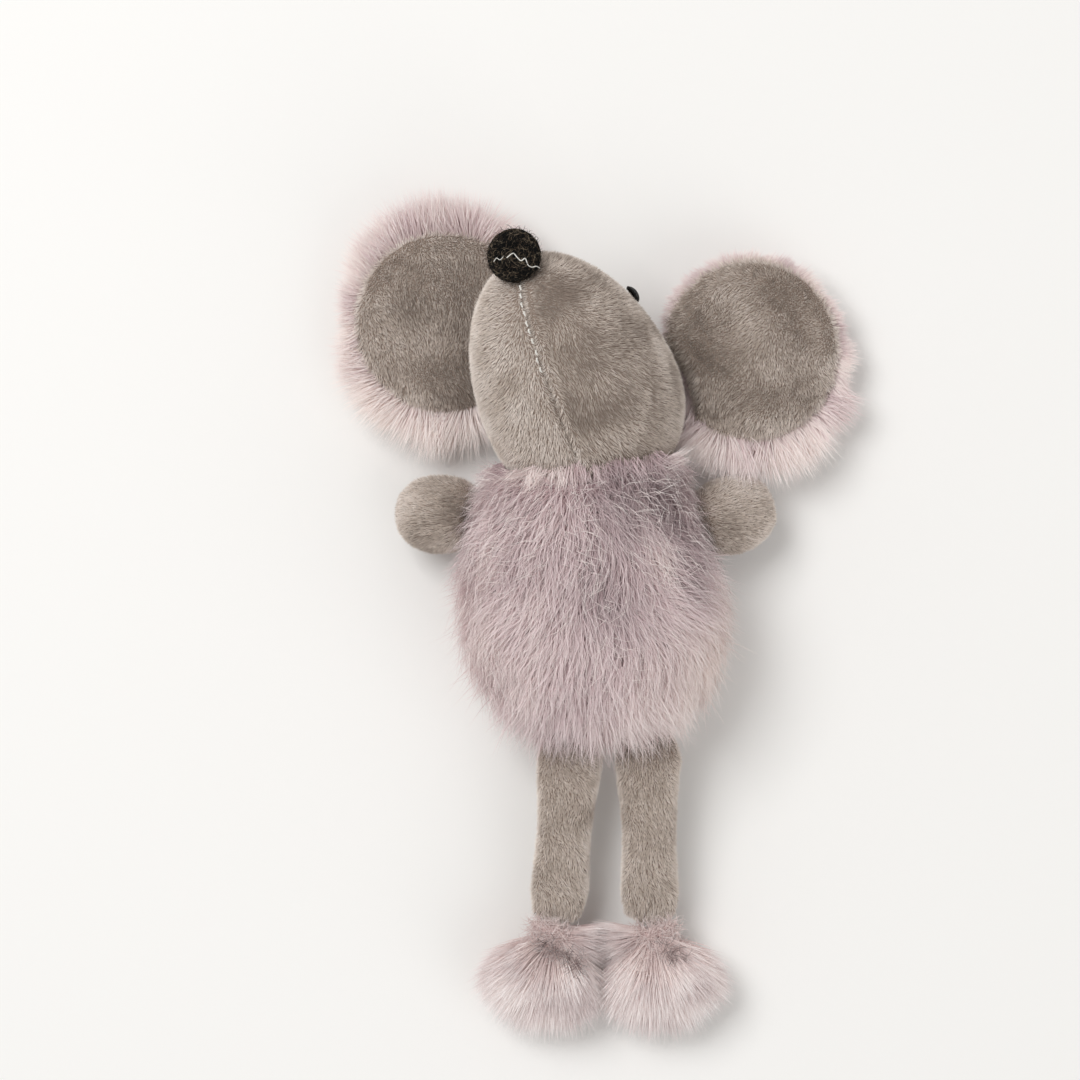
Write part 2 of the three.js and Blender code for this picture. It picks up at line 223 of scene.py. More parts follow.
def locks(roots, lie, size, draw):
    """The fibre that leads each one's lock of about size fibres, which is longer along the way they lie."""
    along = unit(lie.mean(0))
    places = roots - np.outer(roots @ along, along) * LOCK_STRETCH
    count = max(1, len(roots) // size)
    leaders = draw.choice(len(roots), count, replace=False)
    tree = KDTree(count)
    for number, leader in enumerate(leaders):
        tree.insert(places[leader], number)
    tree.balance()
    return leaders[np.array([tree.find(place)[1] for place in places])]


def combed(ways, facing, turn=0.0):
    """The way that pile lies: flat on the cloth and turned about the way it faces."""
    flat = unit(ways - facing * (ways * facing).sum(1, keepdims=True))
    turn = np.broadcast_to(turn, len(flat))[:, None]
    return flat * np.cos(turn) + np.cross(facing, flat) * np.sin(turn)


def grown(roots, facing, lie, length, stand):
    """Each fibre from its root to its tip. stand has, step by step, how upright it is."""
    paths = [roots]
    for upright in stand:
        upright = np.broadcast_to(upright, len(roots))[:, None]
        way = unit(facing * upright + lie * (1 - np.abs(upright)))
        paths.append(paths[-1] + way * (length / len(stand))[:, None])
    return np.stack(paths, 1)


def gathered(paths, lead, pull):
    """Fibres drawn toward the one that leads their lock, more so toward the tips."""
    reach = np.linspace(0, 1, paths.shape[1])[None, :, None] * pull
    return paths * (1 - reach) + paths[lead] * reach


FLOOR_GAP = 0.15 * MM
TONE_STEP = 0.004
# Across a fibre: how far each corner lies aside and outward, for a fibre that shows an edge or a flat side.
EDGED = ((1, -0.4), (-1, -0.4), (0, 0.8))
FLAT_SIDED = ((-1, 0.3), (1, 0.3), (0, -0.6))


def coat(paths, facing, width, tone, taper=0.4, corners=EDGED):
    """Closed tapering fibres along their paths, as points, faces and a map of tone across and root to tip up.

    Their facets stay flat: they are too thin to show, and smoothed ones would swallow light.
    """
    count, rows, _ = paths.shape
    paths = paths.copy()
    paths[:, :, 2] = np.maximum(paths[:, :, 2], FLOOR_GAP)
    tone = np.clip(tone, 0.02, 0.98)
    along = unit(paths[:, -1] - paths[:, 0])
    side = unit(np.cross(along, facing))
    top = np.cross(side, along)
    points, places = [], []
    for row in range(rows - 1):
        spread = width / 2 * (1 - taper * row / (rows - 1))
        height = row / (rows - 1)
        for across, up in corners:
            points.append(paths[:, row] + (side * across + top * up) * spread)
            rise = 0 if across else 0.02
            places.append(np.stack([tone + across * TONE_STEP, np.full(count, height + rise)], 1))
    points.append(paths[:, -1])
    places.append(np.stack([tone, np.ones(count)], 1))
    tip = 3 * (rows - 1)
    faces = [(0, 2, 1)]
    for low in range(0, tip, 3):
        for here, there in ((0, 1), (1, 2), (2, 0)):
            if low + 3 < tip:
                faces.append((low + here, low + there, low + 3 + there))
                faces.append((low + here, low + 3 + there, low + 3 + here))
            else:
                faces.append((low + here, low + there, tip))
    starts = np.arange(count)[:, None, None] * (tip + 1)
    faces = (np.array(faces)[None] + starts).reshape(-1, 3)
    return np.stack(points, 1).reshape(-1, 3), faces, np.stack(places, 1).reshape(-1, 2)


# Painted shade: the cloth under the pile gets a dark tone, as the shade deep in the pile, so that bare cloth
# does not show pale.
CLOTH_TONE = 0.04


def pelt(name, form, coats, finish, cloth_tone=CLOTH_TONE):
    """One piece of pile fabric: the cloth of form, which is used up, and the fibres that stand in it."""
    mesh = form.data
    mesh.calc_loop_triangles()
    cloth_faces = np.empty(len(mesh.loop_triangles) * 3, np.int32)
    mesh.loop_triangles.foreach_get("vertices", cloth_faces)
    points = [points_of(form)]
    faces = [cloth_faces.reshape(-1, 3)]
    corner = [(cloth_tone - TONE_STEP, 0), (cloth_tone + TONE_STEP, 0), (cloth_tone, 0.02)]
    places = [np.tile(corner, (len(faces[0]), 1))]
    start = len(points[0])
    for fibre_points, fibre_faces, fibre_places in coats:
        points.append(fibre_points)
        faces.append(fibre_faces + start)
        places.append(fibre_places[fibre_faces.ravel()])
        start += len(fibre_points)
    points, faces, places = np.concatenate(points), np.concatenate(faces), np.concatenate(places)
    made = bpy.data.meshes.new(name)
    made.vertices.add(len(points))
    made.vertices.foreach_set("co", points.astype(np.float32).ravel())
    made.loops.add(faces.size)
    made.loops.foreach_set("vertex_index", faces.astype(np.int32).ravel())
    made.polygons.add(len(faces))
    made.polygons.foreach_set("loop_start", np.arange(0, faces.size, 3, dtype=np.int32))
    places = np.clip(places, 0.001, 0.999).astype(np.float32)
    made.uv_layers.new(name="OFBake").data.foreach_set("uv", places.ravel())
    made.polygons.foreach_set("use_smooth", np.arange(len(faces)) < len(cloth_faces) // 3)
    made.update(calc_edges=True)
    made.materials.append(finish)
    piece = added(name, made)
    bpy.data.objects.remove(form)
    return piece


def linear(code):
    """A colour as written, six hex digits of sRGB, in the linear values that Blender mixes."""
    parts = [int(code[i:i + 2], 16) / 255 for i in (1, 3, 5)]
    return [p / 12.92 if p <= 0.04045 else ((p + 0.055) / 1.055) ** 2.4 for p in parts] + [1.0]


def add_node(tree, kind, inputs=(), stops=(), **settings):
    """Adds one node with its settings, colour stops and inputs, each a value or a link."""
    made = tree.nodes.new(kind)
    for name, value in settings.items():
        setattr(made, name, value)
    for number, (place, code) in enumerate(stops):
        stop = made.color_ramp.elements[number] if number < 2 else made.color_ramp.elements.new(place)
        stop.position = place
        stop.color = linear(code)
    for socket, value in dict(inputs).items():
        if isinstance(value, bpy.types.NodeSocket):
            tree.links.new(value, made.inputs[socket])
        else:
            made.inputs[socket].default_value = value
    return made


def pile_finish(name, tones, painted_root_shade, tips, roughness, sheen):
    """A pile fabric. Across its map lies a fibre's own tone, and up it the way from the root to the tip,
    along which the colour is painted darker toward the root as painted shade deep in the pile.
    """
    finish = bpy.data.materials.new(name)
    finish.use_nodes = True
    tree = finish.node_tree
    tree.nodes.clear()
    places = add_node(tree, "ShaderNodeUVMap", uv_map="OFBake")
    split = add_node(tree, "ShaderNodeSeparateXYZ", {"Vector": places.outputs["UV"]})
    tone = add_node(tree, "ShaderNodeValToRGB", {"Fac": split.outputs["X"]}, tones)
    # Painted shade: the colour is made darker toward each fibre's root, for the shade deep in the pile.
    shade = add_node(tree, "ShaderNodeValToRGB", {"Fac": split.outputs["Y"]}, painted_root_shade)
    deep = add_node(
        tree, "ShaderNodeMix", {0: 1.0, 6: tone.outputs["Color"], 7: shade.outputs["Color"]},
        data_type="RGBA", blend_type="MULTIPLY",
    )
    tip_share = add_node(
        tree, "ShaderNodeMapRange", {"Value": split.outputs["Y"], "From Min": 0.55, "To Max": tips[1]}
    )
    pale = add_node(
        tree, "ShaderNodeMix", {0: tip_share.outputs["Result"], 6: deep.outputs[2], 7: linear(tips[0])},
        data_type="RGBA",
    )
    cloth = add_node(
        tree, "ShaderNodeBsdfPrincipled",
        {
            "Base Color": pale.outputs[2], "Roughness": roughness, "Specular IOR Level": 0.25,
            "Sheen Weight": sheen, "Sheen Roughness": 0.45,
        },
    )
    add_node(tree, "ShaderNodeOutputMaterial", {"Surface": cloth.outputs["BSDF"]})
    return finish


# Short plush is knitted polyester with a brushed pile about 1 mm high. Seen along the pile it looks pale,
# seen into it dark, so every stroke of a finger leaves light and dark patches.
short_plush = pile_finish(
    "short_grey_plush",
    tones=((0, "#a89a8f"), (1, "#fff8f2"), (0.5, "#e4d9cf")),
    painted_root_shade=((0, "#d3cecb"), (1, "#ffffff"), (0.5, "#f3f1f0")),
    tips=("#f8efe7", 0.25),
    roughness=0.85,
    sheen=0.2,
)

head_middle = Vector(joints["head_nod"]["pos_m"])


def middle_of(node):
    low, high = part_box(node)
    return (low + high) / 2


snout = (middle_of("nose_pompom") - head_middle).normalized()
rightward = (middle_of("right_eye") - middle_of("left_eye")).normalized()
chin = rightward.cross(snout)
head_axes = np.array([snout, chin, rightward])
bpy.ops.object.select_all(action="DESELECT")
bpy.ops.mesh.primitive_uv_sphere_add(segments=64, ring_count=32, radius=1)
egg = newest()
forward, down, right = points_of(egg).T
forward = forward * np.where(forward > 0, SNOUT_LENGTH, HEAD_RADIUS)
egg_points = np.stack([forward, down * HEAD_RADIUS, right * HEAD_RADIUS], 1)
move_points(egg, np.array(head_middle) + egg_points @ head_axes)
head_form = stuffed(egg, HEAD_GRAIN, HEAD_INSET, HEAD_SWELL, seam=(head_middle, rightward))
head_form.name = "head_form"


def on_head(points):
    """How far points are along the snout, toward the chin and to the right of the head's seam."""
    return (points - np.array(head_middle)) @ head_axes.T


def on_seam(angle, high):
    """A place on the chin seam by its angle from the tip of the snout, at a height over the egg."""
    along, down = (SNOUT_LENGTH + high) * math.cos(angle), (HEAD_RADIUS + high) * math.sin(angle)
    return head_middle + snout * along + chin * down


def plush_pile(roots, facing, ways, draw, seed, tone, streak=0.13, lift=0.0, trim=1.0, patch=0.19, bunch=5):
    """Short pile brushed along ways. It lies in strokes a few fibres wide, each with its own tone."""
    count = len(roots)
    lead = locks(roots, combed(ways, facing), bunch, draw)
    stroke = draw.normal(0, 0.16, count)[lead] + 0.4 * drift(roots, FINGER_STROKE, seed)
    upright = np.clip(PLUSH_STAND + draw.normal(0, 0.08, count) + lift, 0.1, 0.9)
    length = PLUSH_LENGTH * trim * draw.uniform(0.8, 1.15, count)
    paths = grown(roots, facing, combed(ways, facing, stroke), length, [upright])
    tone = (
        tone + patch * drift(roots, WORN_PATCH, seed + 1) + draw.normal(0, streak, count)[lead]
        + draw.normal(0, 0.08, count)
    )
    return coat(gathered(paths, lead, 0.08), facing, PLUSH_WIDTH, tone)


points = points_of(head_form)
forward, down, right = on_head(points).T
pinch = SEAM_RIDGE * np.exp(-(((right - RIDGE_WIDTH) / RIDGE_WIDTH) ** 2))
pinch -= SEAM_GROOVE * np.exp(-((right / (0.6 * RIDGE_WIDTH)) ** 2))
pinch *= np.clip(down / SEAM_FADE, 0, 1)
move_points(head_form, points + facing_of(head_form) * pinch[:, None])

HOLES_FROM = 0.74
HOLES_TO = 1.45
HOLE_STEP = 0.055
HOLE_WIDTH = 0.5 * MM
hole_angles = np.arange(HOLES_FROM, HOLES_TO, HOLE_STEP)
needle_holes = np.array([on_seam(angle, -HEAD_INSET) for angle in hole_angles])
# Each panel: its name, side, change of tone and streakiness. The change of tone is painted light: the left
# panel is painted lighter and the right one darker, as the light falls on them.
HEAD_PANELS = (("left", -1, 0.34, 0.1), ("right", 1, -0.1, 0.14))
for side, sign, paler, streak in HEAD_PANELS:
    draw = np.random.default_rng(11 + sign)
    panel = half(head_form, head_middle, rightward * sign)

    def outside(points, facing):
        right = on_head(points)[:, 2]
        in_seam = (np.abs(right) < SEAM_SLIT) & (facing @ np.array(rightward) * sign < -0.9)
        return np.where(in_seam, 0.0, 1.0)

    roots, facing = scatter(panel, HEAD_TUFTS, draw, outside)
    forward, down, right = on_head(roots).T
    ways = -np.array(snout) + np.outer(right / HEAD_RADIUS * 0.5, rightward)
    ridge = np.exp(-(((right - RIDGE_WIDTH) / (0.7 * RIDGE_WIDTH)) ** 2)) * (down > 0)
    groove = np.exp(-((right / (0.45 * RIDGE_WIDTH)) ** 2)) * (down > 0)
    from_hole = np.linalg.norm(roots[:, None] - needle_holes[None], axis=2).min(1)
    hole = np.exp(-((from_hole / HOLE_WIDTH) ** 2))
    low = np.clip(0.5 - forward / HEAD_RADIUS, 0, 1)
    left_edge = np.clip(-right / HEAD_RADIUS - 0.35, 0, 1)
    # Painted light along the seam: a painted highlight on the ridge, and painted shade in the groove and in
    # the needle holes.
    tone = 0.45 + paler + 0.22 * low - 0.3 * left_edge + 0.5 * ridge - 0.75 * groove - 0.7 * hole
    trim = (1 - 0.7 * groove) * (1 - 0.6 * hole)
    pile = plush_pile(roots, facing, ways, draw, 3, tone, streak, 0.2 * ridge, trim)
    piece = pelt(f"head_{side}_plush", panel, [pile], short_plush)
    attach(piece, "head")
    inside = ["head_stuffing"] if sign > 0 else []
    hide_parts(f"head_{side}_panel", *inside)

# Chin seam: small running stitches of white polyester thread along the seam of the head.
# They show on its upper half. Lower down the pile covers them, and only needle holes show.
STITCHES = 10
FIRST_STITCH = math.acos(0.965)
STITCH_THICKNESS = 0.3 * MM
STITCH_HEIGHT = 0.75 * MM
STITCH_ARCH = 1.1 * MM
STITCH_LENGTH = 0.75 * MM
STITCH_STEP = 1.6 * MM
THREAD_MOTTLE = 0.25 * MM


def thread_finish(name, dark, light, roughness):
    """Twisted thread, mottled lighter and darker in fine spots."""
    finish = bpy.data.materials.new(name)
    finish.use_nodes = True
    tree = finish.node_tree
    tree.nodes.clear()
    place = add_node(tree, "ShaderNodeTexCoord")
    mottle = add_node(tree, "ShaderNodeTexNoise", {"Vector": place.outputs["Object"], "Scale": 1 / THREAD_MOTTLE})
    colour = add_node(tree, "ShaderNodeValToRGB", {"Fac": mottle.outputs["Fac"]}, ((0.3, dark), (0.75, light)))
    yarn = add_node(
        tree, "ShaderNodeBsdfPrincipled", {"Base Color": colour.outputs["Color"], "Roughness": roughness}
    )
    add_node(tree, "ShaderNodeOutputMaterial", {"Surface": yarn.outputs["BSDF"]})
    return finish


def thread(path, thickness):
    """A length of round thread along a path, as a mesh."""
    line = bpy.data.curves.new("thread", "CURVE")
    line.dimensions = "3D"
    line.bevel_depth = thickness / 2
    line.bevel_resolution = 2
    line.use_fill_caps = True
    spline = line.splines.new("POLY")
    spline.points.add(len(path) - 1)
    for point, place in zip(spline.points, path):
        point.co = (*place, 1)
    selected_alone(added("thread", line))
    bpy.ops.object.convert(target="MESH")
    return newest()


def sewn(name, threads, finish):
    """Several threads joined to one piece."""
    bpy.ops.object.select_all(action="DESELECT")
    for piece in threads:
        piece.select_set(True)
    bpy.context.view_layer.objects.active = threads[0]
    bpy.ops.object.join()
    made = newest()
    made.name = name
    made.data.materials.clear()
    made.data.materials.append(finish)
    bpy.ops.object.shade_smooth()
    return made


# Spun polyester thread is white with a dull gloss, mottled greyer in fine spots.
white_thread = thread_finish("white_polyester_thread", "#d6d3cc", "#fbf9f4", 0.55)
draw = np.random.default_rng(17)
stitches = []
angle = FIRST_STITCH
for number in range(STITCHES):
    slope = math.hypot(SNOUT_LENGTH * math.sin(angle), HEAD_RADIUS * math.cos(angle))
    aside = rightward * draw.normal(0, 0.1 * MM)
    path = []
    for step in (-0.5, -0.25, 0.0, 0.25, 0.5):
        high = STITCH_HEIGHT - STITCH_ARCH * abs(step)
        path.append(on_seam(angle + step * STITCH_LENGTH / slope, high) + aside)
    stitches.append(thread(path, STITCH_THICKNESS))
    angle += STITCH_STEP / slope * draw.uniform(0.8, 1.2)
seam_stitches = sewn("chin_seam_stitches", stitches, white_thread)
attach(seam_stitches, "head")

# Nose: a ball of black wool, felted hard, with brown and cream hairs in it and two stray white threads.
# It is sewn to the tip of the snout over the end of the chin seam.
NOSE_CORE = 4.15 * MM
NOSE_HAIRS = 2600
NOSE_FUZZ = 420
FELT_WIDTH = 0.17 * MM
FUZZ_WIDTH = 0.06 * MM
FLECKED_SHARE = 0.32
FELT_STEP = 0.75 * MM

# Felted wool is matt and nearly black. Lighter hairs caught in it show as fine scribbled lines.
felted_wool = pile_finish(
    "felted_black_wool",
    tones=((0, "#050505"), (1, "#9a8c78"), (0.7, "#100e0d"), (0.85, "#4a3c30")),
    painted_root_shade=((0, "#b0b0b0"), (1, "#ffffff")),
    tips=("#100e0d", 0.0),
    roughness=0.9,
    sheen=0.0,
)
nose_middle = middle_of("nose_pompom")
bpy.ops.object.select_all(action="DESELECT")
bpy.ops.mesh.primitive_ico_sphere_add(subdivisions=4, radius=NOSE_CORE, location=nose_middle)
nose_form = newest()
bpy.ops.object.transform_apply(location=True, rotation=False, scale=False)
core = points_of(nose_form)
lumps = 0.12 * MM * drift(core, 3 * MM, 21) + 0.22 * MM * drift(core, 8 * MM, 22)
core += unit(core - np.array(nose_middle)) * lumps[:, None]
move_points(nose_form, core)

draw = np.random.default_rng(21)
roots, facing = scatter(nose_form, NOSE_HAIRS, draw)
way = combed(draw.normal(size=(NOSE_HAIRS, 3)), facing)
bend = draw.normal(0, 0.5, NOSE_HAIRS)
hairs = [roots]
for step in range(4):
    out = unit(hairs[-1] - np.array(nose_middle))
    way = combed(way, out, bend)
    high = NOSE_CORE + draw.uniform(0.05, 0.4, NOSE_HAIRS) * MM
    ahead = unit(hairs[-1] + way * FELT_STEP - np.array(nose_middle))
    hairs.append(np.array(nose_middle) + ahead * high[:, None])
flecked = draw.random(NOSE_HAIRS) < FLECKED_SHARE
felt_tone = np.where(flecked, draw.uniform(0.82, 0.98, NOSE_HAIRS), draw.uniform(0.1, 0.6, NOSE_HAIRS))
felt = coat(np.stack(hairs, 1), facing, FELT_WIDTH, felt_tone, taper=0.75)
roots, facing = scatter(nose_form, NOSE_FUZZ, draw)
lie = combed(draw.normal(size=(NOSE_FUZZ, 3)), facing)
stray = grown(roots, facing, lie, draw.uniform(0.8, 2.0, NOSE_FUZZ) * MM, [0.75, 0.45, 0.2])
fuzz = coat(stray, facing, FUZZ_WIDTH, draw.uniform(0.2, 0.8, NOSE_FUZZ))
nose = pelt("nose_wool_ball", nose_form, [felt, fuzz], felted_wool)
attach(nose, "head")
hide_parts("nose_pompom")


LONG_THREAD = 0.17 * MM
SHORT_THREAD = 0.11 * MM
THREAD_HEIGHT = 4.75


def over_nose(bends):
    """A crimped hair over the front of the nose through places in mm from its middle."""
    across, up = np.array(bends).T
    steps = np.linspace(0, len(bends) - 1, 12 * len(bends))
    soft = np.hanning(19)[1:-1] / np.hanning(19).sum()
    across, up = (
        np.convolve(np.pad(np.interp(steps, range(len(bends)), line), 8, "edge"), soft, "valid")
        for line in (across, up)
    )
    high = np.sqrt(np.maximum(0.3, THREAD_HEIGHT ** 2 - across ** 2 - up ** 2)) + 0.1 * np.sin(steps * 2)
    return [nose_middle + Vector(place) * MM for place in zip(across, up, high)]


crimped = (
    (-1.3, -0.8), (-0.1, 0.2), (0.5, -0.6), (1.2, -1.3), (1.9, -0.6),
    (2.3, -1.9), (3.0, -2.2), (3.7, -1.9), (4.4, -2.2),
)
short = ((-3.4, -1.3), (-2.9, -0.6), (-2.3, -1.1), (-1.7, -0.4))
stray_threads = [thread(over_nose(crimped), LONG_THREAD), thread(over_nose(short), SHORT_THREAD)]
nose_threads = sewn("nose_stray_threads", stray_threads, white_thread)
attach(nose_threads, "head")

# Eyes: black embroidery thread in close satin stitches over a small pad of stitches,
# one on each side of the snout.
EYE_THREADS = 9
EYE_STEPS = 8
EYE_HALF_LENGTH = 1.5 * MM
EYE_HALF_WIDTH = 1.5 * MM
EYE_DOME = 1.3 * MM
EYE_SUNK = 0.6 * MM
EYE_THREAD = 0.42 * MM
# Embroidery thread is black with a slight gloss, so that close threads catch the light in fine lines.
eye_thread = thread_finish("black_embroidery_thread", "#060606", "#1d1c1b", 0.5)
for side in ("left", "right"):
    eye_middle = middle_of(f"{side}_eye")
    from_head = eye_middle - head_middle
    out = (from_head - snout * from_head.dot(snout)).normalized()
    across = out.cross(snout).normalized()
    stitches = []
    for number in range(EYE_THREADS):
        offset = (number / (EYE_THREADS - 1) * 2 - 1) * 0.9
        reach = math.sqrt(1 - offset ** 2)
        path = []
        for step in range(EYE_STEPS + 1):
            along = (step / EYE_STEPS * 2 - 1) * reach
            high = EYE_DOME * math.sqrt(max(0.0, 1 - 0.8 * along ** 2 - 0.8 * offset ** 2)) - EYE_SUNK
            on_pad = snout * along * EYE_HALF_LENGTH + across * offset * EYE_HALF_WIDTH
            path.append(eye_middle + on_pad + out * high)
        stitches.append(thread(path, EYE_THREAD))
    eye = sewn(f"{side}_eye_stitches", stitches, eye_thread)
    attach(eye, "head")
    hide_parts(f"{side}_eye")

# Ears: a round of short plush in front, backed with a larger round of long-pile cloth whose fur
# stands out round the rim as a fringe. Each is sewn to the head along its inner edge.
EAR_GRAIN = 0.7 * MM
EAR_RADIUS = 16 * MM
EAR_TUFTS = 18500
EAR_HAIRS = 6600
EAR_DOWN = 8500
FRINGE_LOCK = 12
# The fringe past an ear's rim in millimetres: at the sides, and what the top and the bottom add.
FRINGE = {"left": (3.0, 4.6, 6.0), "right": (2.2, -1.9, 6.6)}
FRINGE_LIE = {"left": (-0.1, 0.0, 0.0), "right": (0.12, -0.45, 0.0)}
FRINGE_SHORTEST = 3.5 * MM
FRINGE_LONGEST = 10.5 * MM
EAR_RIM = 13 * MM
EAR_PUFF = 2.0 * MM
EAR_INSET = 0.1 * MM
EAR_SWELL = 0.5 * MM
EAR_BACK_INSET = 0.3 * MM
EAR_BACK_SWELL = 0.3 * MM
EAR_WAVE = 14 * MM
EAR_SHADE = 7 * MM
FUR_WIDTH = 0.135 * MM
CREASE_START = np.array((13.5, 48.5)) * MM
CREASE_WAY = np.array((0.75, -0.66))
CREASE_LENGTH = 14 * MM
CREASE_WIDTH = 2 * MM
# Lighter and darker patches on the pile of each ear, partly the strokes of a finger and partly painted shade:
# millimetres from its middle, width and change of tone.
STROKES_AND_SHADE = {
    "left": (
        (-5.5, 2.5, 3.5, -0.35), (-10.4, -9, 4, -0.15), (-2, -3, 5, 0.15),
        (1.7, -14, 4, -0.3), (3, 10, 4, -0.15),
    ),
    "right": (
        (-2, 4.7, 6, 0.12), (9.3, -6.7, 4, -0.35), (-8.6, -9, 3.5, 0.25),
        (2, 12, 5, -0.15), (12, 3, 3.5, 0.15),
    ),
}

# Long fur is straight acrylic pile with pale tips, lilac grey near the cloth and pinkish where it lies open.
# Part of the grey near the cloth is painted shade deep in the pile.
long_fur = pile_finish(
    "long_lilac_fur",
    tones=((0, "#b8a4a7"), (1, "#fff8f4"), (0.3, "#dccacc"), (0.5, "#eadadb"), (0.8, "#f8eeeb")),
    painted_root_shade=((0, "#e2d8da"), (1, "#ffffff"), (0.45, "#f8f5f5")),
    tips=("#fffaf6", 0.45),
    roughness=0.7,
    sheen=0.15,
)

head_skin = BVHTree.FromPolygons(
    [vertex.co for vertex in head_form.data.vertices], [face.vertices[:] for face in head_form.data.polygons]
)


def head_gap(points):
    """How far points lie outside the head's cloth, and the nearest place on it with the way it faces."""
    gaps, places, ways = np.full(len(points), 1.0), points.copy(), np.zeros_like(points)
    near = np.flatnonzero(np.linalg.norm(points - np.array(head_middle), axis=1) < 42 * MM)
    for number in near:
        place, way, _, _ = head_skin.find_nearest(points[number])
        gaps[number] = (Vector(points[number]) - place).dot(way)
        places[number] = place
        ways[number] = way
    return gaps, places, ways


def sewn_at(joint):
    """Where a limb's seam is, and the way that the limb points from it."""
    turned = joints[joint]["axis"]
    return Vector(joints[joint]["pos_m"]), Vector((-turned[1], turned[0], 0))


def joined_nodes(name, nodes):
    """A new form with the solids of some of the object's nodes."""
    bpy.ops.object.select_all(action="DESELECT")
    for node in nodes:
        part = added(name, frame["nodes"][node].data.copy())
        part.select_set(True)
        bpy.context.view_layer.objects.active = part
    bpy.ops.object.join()
    form = newest()
    form.data.materials.clear()
    bpy.ops.object.mode_set(mode="EDIT")
    bpy.ops.mesh.select_all(action="SELECT")
    bpy.ops.mesh.remove_doubles(threshold=1e-6)
    bpy.ops.object.mode_set(mode="OBJECT")
    return form


